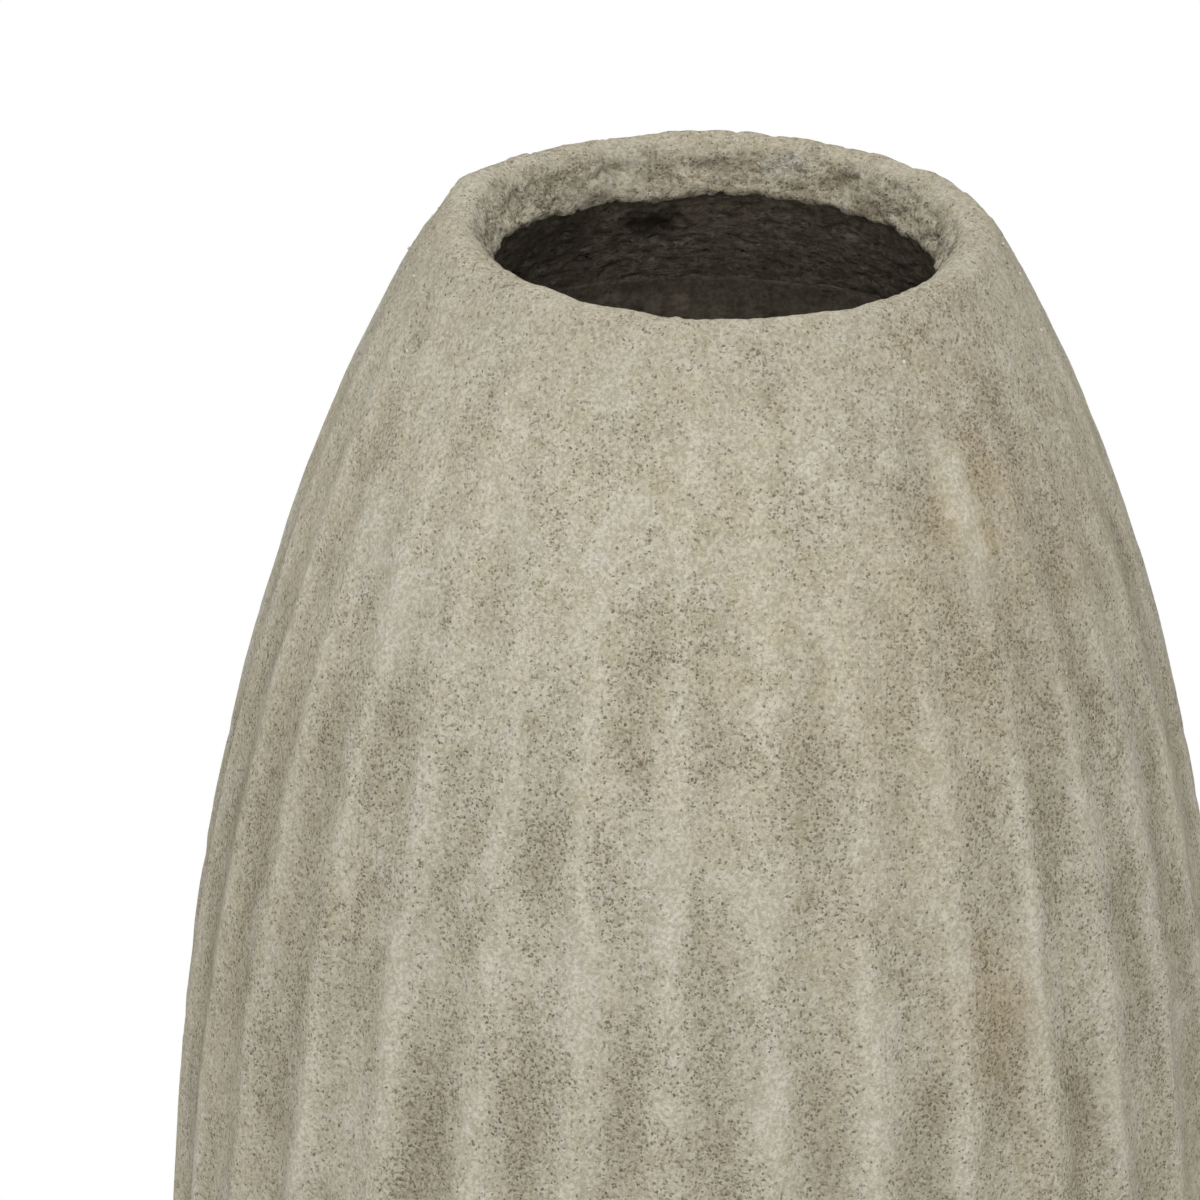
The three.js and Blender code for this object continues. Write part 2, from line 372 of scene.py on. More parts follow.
# Worked clay: hand marks on a turned blank, as lumps and pits where its vertices carry a mark, and the
# lean that the mouth took when the vase dried
worked_clay, given, made = node_group(
    "GeometryNodeTree", "Worked clay",
    {"Geometry": "Geometry", "Mark": "String", "Lump size": "Float", "Lump height": "Float",
     "Pit size": "Float", "Pit depth": "Float", "Upright": "Float", "Mouth lean": "Float",
     "Lean from": "Float", "Lean to": "Float", "Material": "Material"},
    {"Geometry": "Geometry"})
tree = worked_clay
place = node(tree, "GeometryNodeInputPosition").outputs[0]
drawn_out = upright_stretch(tree, place, given["Upright"])
lumps = noise(tree, drawn_out, given["Lump size"], detail=3.0, roughness=0.55)
lumps = calc(tree, "SUBTRACT", lumps, 0.5)
lumps = calc(tree, "MULTIPLY", lumps, calc(tree, "MULTIPLY", given["Lump height"], 2.0))
pits = ramped(tree, noise(tree, drawn_out, given["Pit size"], detail=1.0), 0.56, 0.72)
pits = calc(tree, "MULTIPLY", pits, given["Pit depth"])
worked = carried(tree, given["Mark"])
rise = calc(tree, "MULTIPLY", calc(tree, "SUBTRACT", lumps, pits), worked)
push = scaled(tree, node(tree, "GeometryNodeInputNormal").outputs[0], rise)
parts = node(tree, "ShaderNodeSeparateXYZ", {0: place}).outputs
lean = ramped(tree, parts["Z"], given["Lean from"], given["Lean to"])
lean = calc(tree, "MULTIPLY", lean, calc(tree, "MULTIPLY", given["Mouth lean"], -1.0))
sink = calc(tree, "MULTIPLY", lean, parts["X"])
sink = node(tree, "ShaderNodeCombineXYZ", {2: sink}).outputs[0]
moved = node(tree, "GeometryNodeSetPosition", {
    "Geometry": given["Geometry"], "Offset": vector(tree, "ADD", push, sink)}).outputs[0]
smooth = node(tree, "GeometryNodeSetShadeSmooth", {"Geometry": moved}).outputs[0]
end_tree(tree, smooth, given, made)

mouth_lean = math.radians(1.0)
lean_from = 0.33


def shaped(piece, *steps):
    """Runs Geometry Nodes trees on a piece, each with its own inputs, and leaves a plain mesh."""
    for tree, inputs in steps:
        modifier = piece.modifiers.new(tree.name, "NODES")
        modifier.node_group = tree
        for item in tree.interface.items_tree:
            if item.in_out == "INPUT" and item.name in inputs:
                modifier[item.identifier] = inputs[item.name]
    seen = bpy.context.evaluated_depsgraph_get()
    blank = piece.data
    piece.data = bpy.data.meshes.new_from_object(piece.evaluated_get(seen), depsgraph=seen)
    piece.modifiers.clear()
    bpy.data.meshes.remove(blank)
    piece.data.name = piece.name
    return piece


def hand_work(material, lumps, pits, upright, mark="worked", lean=mouth_lean):
    """The step that leaves hand marks on a blank, with the lean of the mouth. Lumps have a size and a
    height, pits have a size and a depth, and both are drawn out upright."""
    return worked_clay, {
        "Mark": mark, "Lump size": lumps[0], "Lump height": lumps[1], "Pit size": pits[0],
        "Pit depth": pits[1], "Upright": upright, "Mouth lean": lean, "Lean from": lean_from,
        "Lean to": vase_height, "Material": material}


land_out = wall_radius(0, clay_out) - foot_ease
land_in = land_out - foot_land
floor_outline = spaced(eased([
    (0, foot_recess),
    (land_in - foot_recess, foot_recess),
    (land_in, 0),
    (land_out, 0),
    (wall_radius(foot_ease, clay_out), foot_ease),
    (wall_radius(floor_top, clay_out), floor_top),
    (0, floor_top),
], foot_ease), floor_step)
floor_disc = turned("cast_floor_disc", floor_outline, evenly(floor_segments),
                    worked=(floor_outline[:, 1] > foot_recess / 2) * 1.0)
shaped(floor_disc, hand_work(dark_clay, lumps=(0.020, 0.0002), pits=(0.005, 0.0002), upright=1.0))
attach(floor_disc, "root")
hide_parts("floor_disc")


# Lower wall: the bowl-shaped section of dark clay below the belly. It is pressed in a mould, stands
# on the floor disc, and is shut in between the lining and the skin.
cad_nodes["lower_wall"].material_slots[0].material = dark_clay


# Floor seam coil: a rope of soft clay pressed into the corner between the floor and the lower wall,
# which closes the joint from the inside.
luting_clay = clay_finish(
    "luting_clay", body=(110, 102, 88), dry=(130, 122, 106), pit=(70, 64, 54),
    grain=0.0010, upright=0.3, relief=0.0003)
cad_nodes["floor_seam_coil"].material_slots[0].material = luting_clay


# Upper wall: the long shoulder section of the same clay. It stands on the lower wall at the belly
# and carries the mouth ring; it too is shut in between the lining and the skin.
cad_nodes["upper_wall"].material_slots[0].material = dark_clay


# Belly seam coil: a rope of soft clay that fills the groove where the two wall sections meet.
# It is rubbed in level with the inside of the wall.
cad_nodes["belly_seam_coil"].material_slots[0].material = luting_clay


# Mouth ring: a thick ring of dark clay that stiffens the rim, luted onto the shoulder. It is bare
# inside the mouth, crumbly and pitted, with marks dragged round by the hand that smoothed it.
seam_groove = 0.004
groove_depth = 0.005
mouth_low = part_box("mouth_ring")[0].z
lip_lean = 30
lip_face = 0.0083
lip_ledge = 0.002
bare_grain = 0.0016
mouth_step = 0.0009
mouth_segments = 400

# A damp smudge and a painted shadow inside, each with its angle, radius, height, reach and darkness.
# The first is a damp smudge; the second is a painted shadow under the lip at the left back.
inside_smudge_and_shadow = ((-164.8, 0.0668, 0.4247, 0.011, 1.0), (-144.0, 0.0678, 0.4235, 0.018, 0.5))


def around_vase(angle, radius, height):
    """A place on the vase, from its angle round it."""
    turn = math.radians(angle)
    return Vector((radius * math.sin(turn), -radius * math.cos(turn), height))


def length(tree, value):
    return node(tree, "ShaderNodeVectorMath", {0: value}, operation="LENGTH").outputs["Value"]


# Stain: a soft mark at one place, with an edge made ragged by a noise
stain_group, given, made = node_group(
    "ShaderNodeTree", "Stain",
    {"Place": "Vector", "Ragged": "Float", "Centre": "Vector", "Reach": "Float", "Upright": "Float"},
    {"Mask": "Float"})
tree = stain_group
apart = vector(tree, "SUBTRACT", given["Place"], given["Centre"])
apart = upright_stretch(tree, apart, given["Upright"])
distance = calc(tree, "DIVIDE", length(tree, apart), given["Reach"])
distance = calc(tree, "MULTIPLY_ADD", calc(tree, "SUBTRACT", given["Ragged"], 0.5), 2.6, distance)
tree.links.new(ramped(tree, distance, 0.1, 1.2, 1.0, 0.0), made["Mask"])


def stain(tree, place, ragged, centre, reach, upright):
    inputs = {"Place": place, "Ragged": ragged, "Centre": centre, "Reach": reach, "Upright": upright}
    return node(tree, "ShaderNodeGroup", inputs, node_tree=stain_group).outputs["Mask"]


def washed(tree, colour, mask, share, tone):
    """A colour that goes over to a tone where a mask is, by a share."""
    return blended(tree, calc(tree, "MULTIPLY", mask, share), colour, tint(*tone))


def bare_clay_finish():
    """The bare clay in the mouth: dark, crumbly, dragged round, with a damp smudge at the back and a
    painted shadow under the lip at the left back.
    """
    material, tree, place, surface = new_finish("bare_clay")
    drags = clouds(tree, place, size=0.010, upright=0.3, low=0.38, high=0.66)
    damp = clouds(tree, place, size=0.022, upright=0.8, low=0.45, high=0.6)
    sand = grain_of(tree, place, bare_grain, calc(tree, "MULTIPLY_ADD", drags, 0.3, 0.35))
    colour = blended(tree, drags, tint(101, 93, 79), tint(125, 116, 100))
    colour = washed(tree, colour, damp, 0.5, (86, 78, 65))
    crumbs = noise(tree, upright_stretch(tree, place, 0.6), size=0.0036, detail=3.0, roughness=0.65)
    colour = blended(tree, ramped(tree, crumbs, 0.54, 0.72, 0.0, 0.55), colour, tint(152, 143, 126))
    colour = speckled(tree, colour, sand, 0.3)
    colour = washed(tree, colour, sand["Pores"], 0.7, (62, 56, 47))
    torn = noise(tree, place, size=0.004, detail=4.0, roughness=0.6)
    for angle, radius, height, reach, share in inside_smudge_and_shadow:
        # The second of these is a painted shadow under the lip.
        smudge_and_shadow = stain(tree, place, torn, around_vase(angle, radius, height), reach, 0.55)
        colour = washed(tree, colour, smudge_and_shadow, share, (44, 38, 28))
    roughness = ramped(tree, damp, 0.0, 1.0, 0.95, 0.75)
    grain = calc(tree, "MULTIPLY_ADD", crumbs, 2.0, sand["Height"])
    end_finish(tree, surface, colour, roughness, grain, relief=0.0006)
    return material


def arc(centre, radius, start, end, count=24):
    return np.array([centre + radius * towards(angle) for angle in np.linspace(start, end, count)])


bare_clay = bare_clay_finish()
crumbly_work = hand_work(bare_clay, lumps=(0.008, 0.0010), pits=(0.0045, 0.0012), upright=0.7)
inward = towards(180 - lip_lean)
down_the_lip = towards(270 - lip_lean)
behind_lip = rim_centre + ring_tip * inward + lip_face * down_the_lip
ring_face = [
    behind_lip,
    behind_lip + [lip_ledge, 0],
    (wall_radius(mouth_low + seam_groove, clay_in), mouth_low + seam_groove),
    (wall_radius(mouth_low, clay_in - groove_depth), mouth_low),
    (wall_radius(mouth_low, clay_out), mouth_low),
]
ring_outline = spaced(np.vstack([
    wall_line(mouth_low, rim_centre[1], clay_out, mouth_step),
    arc(rim_centre, ring_tip, rim_lean, 180 - lip_lean),
    eased(ring_face, slip),
]), mouth_step)[:-1]
ring_depth = np.interp(ring_outline[:, 1], wall[1:, 1], wall[1:, 0]) - ring_outline[:, 0]
mouth_ring = turned("crumbly_mouth_ring", ring_outline, evenly(mouth_segments),
                    worked=np.clip((ring_depth - clay_out) / skin_thickness - 1, 0, 1))
shaped(mouth_ring, crumbly_work)
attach(mouth_ring, "root")
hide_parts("mouth_ring")


# Mouth seam coil: the rope of soft clay in the groove under the mouth ring, rubbed out over the edges
# above and below it, so that it shows as a crumbly band just above the lining.
coil_rub = 0.0010
coil_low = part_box("upper_wall")[1].z - seam_groove - 2 * coil_rub
coil_high = mouth_low + seam_groove + coil_rub
coil_middle = (coil_low + coil_high) / 2 + coil_rub
coil_root = (wall_radius(coil_middle, clay_in - groove_depth + 2 * slip), coil_middle)
coil_top = (wall_radius(coil_high, clay_in), coil_high)
coil_foot = (wall_radius(coil_low, clay_in), coil_low)
coil_outline = spaced([coil_foot, coil_root, coil_top, coil_foot], mouth_step)[:-1]
coil_depth = coil_outline[:, 0] - wall_radius(coil_outline[:, 1], clay_in)
mouth_coil = turned("rubbed_mouth_seam_coil", coil_outline, evenly(mouth_segments),
                    worked=(np.abs(coil_depth) < slip) * 1.0)
shaped(mouth_coil, crumbly_work)
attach(mouth_coil, "root")
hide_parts("mouth_seam_coil")


# Inner lining: the thin sealing coat over the floor and the walls, poured in and swirled round. Its
# upper edge shows in the mouth as a level line, with runs below it.
lining_thickness = 0.0012
lining_out = clay_in + 2 * slip
lining_in = lining_out + lining_thickness
lining_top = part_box("inner_lining")[1].z
fillet = 0.012
fillet_hollow = 0.5
lining_feather = 0.012
lining_edge_clear = 0.0003
lining_seen = 0.045
lining_step = 0.0045
lining_seen_step = 0.0013
lining_segments = 320


def corner_face(clear):
    """The eased inside corner between floor and wall, a distance clear of the clay."""
    low = floor_top + clear
    root = np.array([wall_radius(low, clay_in + clear), low])
    on_floor = root - [fillet, 0]
    on_wall = np.array([wall_radius(low + fillet, clay_in + clear), low + fillet])
    pull = ((on_floor + on_wall) / 2) * (1 - fillet_hollow) + root * fillet_hollow
    share = np.linspace(0, 1, 8)[:, None]
    return (1 - share) ** 2 * on_floor + 2 * share * (1 - share) * pull + share ** 2 * on_wall


def sealing_coat_finish():
    """The sealing coat: a shade lighter and smoother than the clay, with upright runs. Towards its edge
    it grows thin, so that the clay shows through in places."""
    material, tree, place, surface = new_finish("sealing_coat")
    runs = clouds(tree, place, size=0.005, upright=9.0, low=0.38, high=0.64)
    patches = clouds(tree, place, size=0.016, upright=0.6, low=0.4, high=0.62)
    up = node(tree, "ShaderNodeSeparateXYZ", {0: place}).outputs["Z"]
    ragged = noise(tree, upright_stretch(tree, place, 0.5), size=0.010, detail=5.0, roughness=0.65)
    near_edge = calc(tree, "MULTIPLY_ADD", calc(tree, "SUBTRACT", ragged, 0.5), 0.040, up)
    thin = ramped(tree, near_edge, lining_top - lining_feather, lining_top)
    sand = grain_of(tree, place, bare_grain, calc(tree, "MULTIPLY_ADD", thin, 0.3, 0.25))
    colour = blended(tree, runs, tint(120, 112, 97), tint(145, 136, 118))
    colour = washed(tree, colour, patches, 0.6, (96, 88, 74))
    colour = washed(tree, colour, thin, 0.8, (104, 96, 82))
    colour = speckled(tree, colour, sand, 0.25)
    colour = washed(tree, colour, sand["Pores"], 0.6, (66, 59, 49))
    roughness = ramped(tree, runs, 0.0, 1.0, 0.72, 0.88)
    height = calc(tree, "MULTIPLY_ADD", runs, 0.5, sand["Height"])
    end_finish(tree, surface, colour, roughness, height, relief=0.0004)
    return material


sealing_coat = sealing_coat_finish()
seen_from = lining_top - lining_seen


def feathered(line, depth, end_depth):
    """A line on the lining, moved out where it thins towards its upper edge."""
    move = np.interp(line[:, 1], [lining_top - lining_feather, lining_top], [0, depth - end_depth])
    return line + move[:, None] * towards(rim_lean)


under = corner_face(lining_out - clay_in)
over = corner_face(lining_in - clay_in)
back_of_floor = spaced(np.vstack([[(0, under[0, 1])], under]), lining_step)
back_of_wall = wall_line(under[-1, 1], lining_top, lining_out, 2 * lining_step)[1:]
face_of_floor = spaced(np.vstack([over[::-1], [(0, over[0, 1])]]), lining_step)
face_of_wall = np.vstack([
    wall_line(over[-1, 1], seen_from, lining_in, lining_step)[1:],
    wall_line(seen_from, lining_top, lining_in, lining_seen_step)[1:]])[::-1]
lining_back = np.vstack([
    back_of_floor, feathered(back_of_wall, lining_out, clay_in + lining_edge_clear)])
lining_face = np.vstack([
    feathered(face_of_wall, lining_in, clay_in + 2 * lining_edge_clear), face_of_floor])
lining = turned(
    "poured_inner_lining", np.vstack([lining_back, lining_face]), evenly(lining_segments),
    worked=[*np.zeros(len(lining_back)), *np.ones(len(lining_face))])
shaped(lining, hand_work(sealing_coat, lumps=(0.010, 0.0009), pits=(0.005, 0.0006), upright=1.6))
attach(lining, "root")
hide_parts("inner_lining")


# Fluted skin: the coat of pale sand and lime laid over the clay, drawn down with a finger into
# shallow flutes while soft, and rolled over the rim to a ragged lip inside the mouth.
flutes = 32
flute_depth = 0.0028
flute_turn = math.radians(-4.41)
crest_round = 0.07
slow_drift = math.radians(1.15)
slow_start = math.radians(129)
quick_drift = math.radians(0.37)
quick_start = math.radians(-99)
quick_waves = 6
flute_sway = math.radians(2.6)
flute_top_band = 0.008
flute_top_fade = 0.215
flute_foot_band = 0.008
flute_foot_fade = 0.016
firm_angle = 52
firm_height = 0.388
firm_reach = 0.075
firm_press = 1.5
skin_grain = 0.00078
skin_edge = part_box("fluted_skin")[0].z
skin_step = 0.0034
rim_step = 0.0009
hidden_step = 0.030
rim_worked_from = 0.425

# Places of the vertices across one flute, as shares of its width, closest together at its crests
flute_places = np.array([
    0.0, 0.030, 0.075, 0.135, 0.205, 0.285, 0.370, 0.457,
    0.543, 0.630, 0.715, 0.795, 0.865, 0.925, 0.970])

# Knocks in the rim and the lip, each with its angle, radius, height, reach, and how far the skin moved
# outwards and upwards
rim_knocks = (
    (-112.6, 0.0640, 0.450, 0.0060, 0.0008, 0.0011), (-99.0, 0.0640, 0.450, 0.0070, -0.0007, -0.0010),
    (133.2, 0.0640, 0.450, 0.0045, -0.0008, -0.0011), (124.0, 0.0640, 0.450, 0.0060, 0.0005, 0.0006),
    (-92.0, 0.0540, 0.438, 0.0260, 0.0013, 0.0006), (95.0, 0.0540, 0.438, 0.0260, 0.0012, 0.0010),
    (-150.0, 0.0540, 0.438, 0.0130, -0.0009, -0.0012), (178.0, 0.0540, 0.438, 0.0180, -0.0004, -0.0005))

# Marks on the skin, each with its angle, height, reach and how far it is drawn out upright
dense_marks = (
    (-19.3, 0.317, 0.011, 1.8), (11.4, 0.349, 0.012, 1.6), (-29.3, 0.342, 0.010, 1.4),
    (-19.6, 0.276, 0.013, 1.8), (57.9, 0.343, 0.013, 2.2), (-49.9, 0.283, 0.011, 3.0),
    (44.5, 0.268, 0.010, 3.0), (35.6, 0.377, 0.008, 1.6), (45.0, 0.322, 0.010, 2.0),
    (51.0, 0.4225, 0.018, 0.9), (33.0, 0.412, 0.009, 1.8), (-61.3, 0.408, 0.011, 2.0),
    (-6.7, 0.382, 0.014, 1.6))
pale_marks = (
    (38.9, 0.287, 0.010, 3.0), (-14.9, 0.295, 0.009, 2.6), (40.5, 0.393, 0.010, 2.2),
    (-22.8, 0.343, 0.008, 1.8), (7.1, 0.275, 0.009, 2.4), (-54.6, 0.388, 0.015, 1.3),
    (-45.3, 0.369, 0.015, 1.6), (-36.0, 0.300, 0.012, 2.0))
# A painted highlight along one flute on the right shoulder: cream, in three short marks, without pores.
cream_highlight_marks = ((41.6, 0.413, 0.0065, 1.8), (42.0, 0.403, 0.0065, 2.0), (42.3, 0.396, 0.005, 2.0))
warm_marks = (
    (39.4, 0.402, 0.008, 1.4), (47.5, 0.410, 0.011, 1.4), (45.0, 0.398, 0.007, 1.6),
    (34.7, 0.288, 0.016, 1.8))
brown_marks = ((-8.4, 0.3535, 0.0016, 1.0), (12.0, 0.331, 0.0012, 1.4))
# A stain on the right shoulder that is also painted shade: darker, warmer and with more pores.
stain_and_shade_marks = ((50.0, 0.398, 0.062, 1.2),)

# Marks on the slope inside the rim, each with its angle, radius, height and reach
slope_marks = (
    (-139.6, 0.0554, 0.4420, 0.008), (-144.3, 0.0541, 0.4397, 0.008), (-178.6, 0.0566, 0.4440, 0.006),
    (144.4, 0.0567, 0.4442, 0.005), (136.0, 0.0548, 0.4409, 0.006))
slope_pale_marks = ((163.5, 0.0570, 0.4447, 0.007),)

# Shares of light that dark and pale grains, and dark and pale mottling, give back
dark_grain = (0.79, 0.785, 0.745, 1.0)
light_grain = (1.13, 1.13, 1.165, 1.0)
dark_mottle = (0.94, 0.93, 0.89, 1.0)
light_mottle = (1.045, 1.05, 1.085, 1.0)


def kept_on(tree, geometry, mark, value):
    """The same geometry with a value kept on its points, under the name of a mark."""
    inputs = {"Geometry": geometry, "Name": mark, "Value": value}
    return node(
        tree, "GeometryNodeStoreNamedAttribute", inputs, data_type="FLOAT", domain="POINT").outputs[0]


# Drawn flutes: hollows between crests that drift and sway a little round the vase, are softer in some
# places and fade out towards the rim and the foot. Round one place they are pressed more firmly. They
# leave on the skin how dark each hollow is, which is dirt and painted shade, and where a crest is paler,
# which is wear and a painted highlight.
drawn_flutes, given, made = node_group(
    "GeometryNodeTree", "Drawn flutes",
    {"Geometry": "Geometry", "Flutes": "Float", "Depth": "Float", "Turn": "Float",
     "Crest round": "Float", "Slow drift": "Float", "Slow start": "Float", "Quick drift": "Float",
     "Quick start": "Float", "Quick waves": "Float", "Sway": "Float", "Top": "Float",
     "Top fade": "Float", "Foot": "Float", "Foot fade": "Float", "Firm place": "Vector",
     "Firm reach": "Float", "Firm press": "Float", "Material": "Material"},
    {"Geometry": "Geometry"})
tree = drawn_flutes
place = node(tree, "GeometryNodeInputPosition").outputs[0]
parts = node(tree, "ShaderNodeSeparateXYZ", {0: place}).outputs
front = calc(tree, "MULTIPLY", parts["Y"], -1.0)
angle = calc(tree, "ARCTAN2", parts["X"], front)
slow = calc(tree, "SINE", calc(tree, "ADD", angle, given["Slow start"]))
quick = calc(tree, "MULTIPLY_ADD", angle, given["Quick waves"], given["Quick start"])
quick = calc(tree, "MULTIPLY", calc(tree, "SINE", quick), given["Quick drift"])
drift = calc(tree, "MULTIPLY_ADD", slow, given["Slow drift"], quick)
turn = calc(tree, "SUBTRACT", calc(tree, "SUBTRACT", angle, given["Turn"]), drift)
sway = noise(tree, upright_stretch(tree, place, 1.6), size=0.020, detail=3.0)
sway = calc(tree, "MULTIPLY", calc(tree, "SUBTRACT", sway, 0.5), given["Sway"])
turn = calc(tree, "ADD", turn, sway)
half_waves = calc(tree, "MULTIPLY", given["Flutes"], 0.5)
wave = calc(tree, "SINE", calc(tree, "MULTIPLY", turn, half_waves))
softer = noise(tree, upright_stretch(tree, place, 2.0), size=0.026)
softer = calc(tree, "MULTIPLY", ramped(tree, softer, 0.36, 0.64, 1.0, 5.0), given["Crest round"])
round_off = calc(tree, "MULTIPLY", softer, softer)
bowl = calc(tree, "SQRT", calc(tree, "MULTIPLY_ADD", wave, wave, round_off))
bowl_end = calc(tree, "SQRT", calc(tree, "ADD", round_off, 1.0))
bowl = node(tree, "ShaderNodeMapRange", enumerate((bowl, softer, bowl_end))).outputs[0]
from_top = calc(tree, "SUBTRACT", given["Top"], given["Top fade"])
top_inputs = enumerate((parts["Z"], from_top, given["Top"], 1.0, 0.0))
fade = calc(tree, "POWER", node(tree, "ShaderNodeMapRange", top_inputs).outputs[0], 0.75)
to_foot = calc(tree, "ADD", given["Foot"], given["Foot fade"])
fade = calc(tree, "MULTIPLY", fade, ramped(tree, parts["Z"], given["Foot"], to_foot))
press = noise(tree, upright_stretch(tree, place, 2.5), size=0.055)
press = ramped(tree, press, 0.3, 0.7, 0.75, 1.15)
from_firm = length(tree, vector(tree, "SUBTRACT", place, given["Firm place"]))
firm = ramped(tree, from_firm, 0.0, given["Firm reach"], given["Firm press"], 1.0)
press = calc(tree, "MULTIPLY", press, firm)
drawn = calc(tree, "MULTIPLY", calc(tree, "MULTIPLY", fade, press), carried(tree, "outside"))
hollow = calc(tree, "MULTIPLY", bowl, drawn)
level = node(tree, "ShaderNodeCombineXYZ", {0: parts["X"], 1: parts["Y"]}).outputs[0]
outwards = vector(tree, "NORMALIZE", level)
sunk = calc(tree, "MULTIPLY", hollow, calc(tree, "MULTIPLY", given["Depth"], -1.0))
push = scaled(tree, outwards, sunk)
kept_marks = noise(tree, upright_stretch(tree, place, 2.0), size=0.019, detail=4.0)
kept_marks = ramped(tree, kept_marks, 0.32, 0.68, 0.15, 1.5)
kept_marks = calc(tree, "MULTIPLY", kept_marks, calc(tree, "POWER", drawn, 0.7))
# Dirt and painted shade: darker where each flute is deepest.
grime_and_shade = calc(tree, "MULTIPLY", bowl, kept_marks)
# Wear and a painted highlight: paler on each crest.
crest = calc(tree, "MULTIPLY", ramped(tree, bowl, 0.0, 0.75, 1.0, 0.0), kept_marks)
kept = kept_on(tree, kept_on(tree, given["Geometry"], "grime_and_shade", grime_and_shade), "crest", crest)
moved = node(tree, "GeometryNodeSetPosition", {"Geometry": kept, "Offset": push}).outputs[0]
end_tree(tree, moved, given, made)


def marked(tree, name):
    """A value that the vertices carry."""
    return node(tree, "ShaderNodeAttribute", attribute_name=name).outputs["Fac"]


def marks_at(tree, place, ragged, marks):
    """The joint mask of several stains on the outside of the wall."""
    mask = 0.0
    for angle, height, reach, upright in marks:
        centre = around_vase(angle, wall_radius(height, 0), height)
        mask = calc(tree, "MAXIMUM", mask, stain(tree, place, ragged, centre, reach, upright))
    return mask


def slope_marks_at(tree, place, ragged, marks):
    """The joint mask of several stains on the slope inside the rim, drawn out round the mouth."""
    mask = 0.0
    for angle, radius, height, reach in marks:
        centre = around_vase(angle, radius, height)
        mask = calc(tree, "MAXIMUM", mask, stain(tree, place, ragged, centre, reach, 0.5))
    return mask


